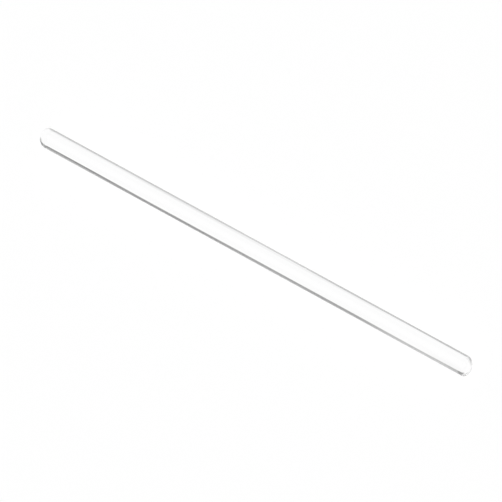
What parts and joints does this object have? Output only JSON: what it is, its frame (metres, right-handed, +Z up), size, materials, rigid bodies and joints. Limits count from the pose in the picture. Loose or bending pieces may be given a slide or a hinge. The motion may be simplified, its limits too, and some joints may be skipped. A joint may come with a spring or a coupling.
{
  "type": "stirring rod",
  "caption": "Straight, solid, clear glass stirring rod with flame-rounded ends that slope slightly.",
  "frame": {"origin": "middle of the rod, on its axis", "axes": "+X along the rod towards its blunter end, +Z up from the bench it lies on; each end slopes, so that the tip at +X is longer on its -Y side and the tip at -X is longer on its +Y side"},
  "size_m": [0.15, 0.006, 0.006],
  "materials": {
    "clear_glass": "clear, colourless, drawn and flame-polished"
  },
  "bodies": {
    "root": {"rod": "clear_glass"}
  },
  "joints": []
}
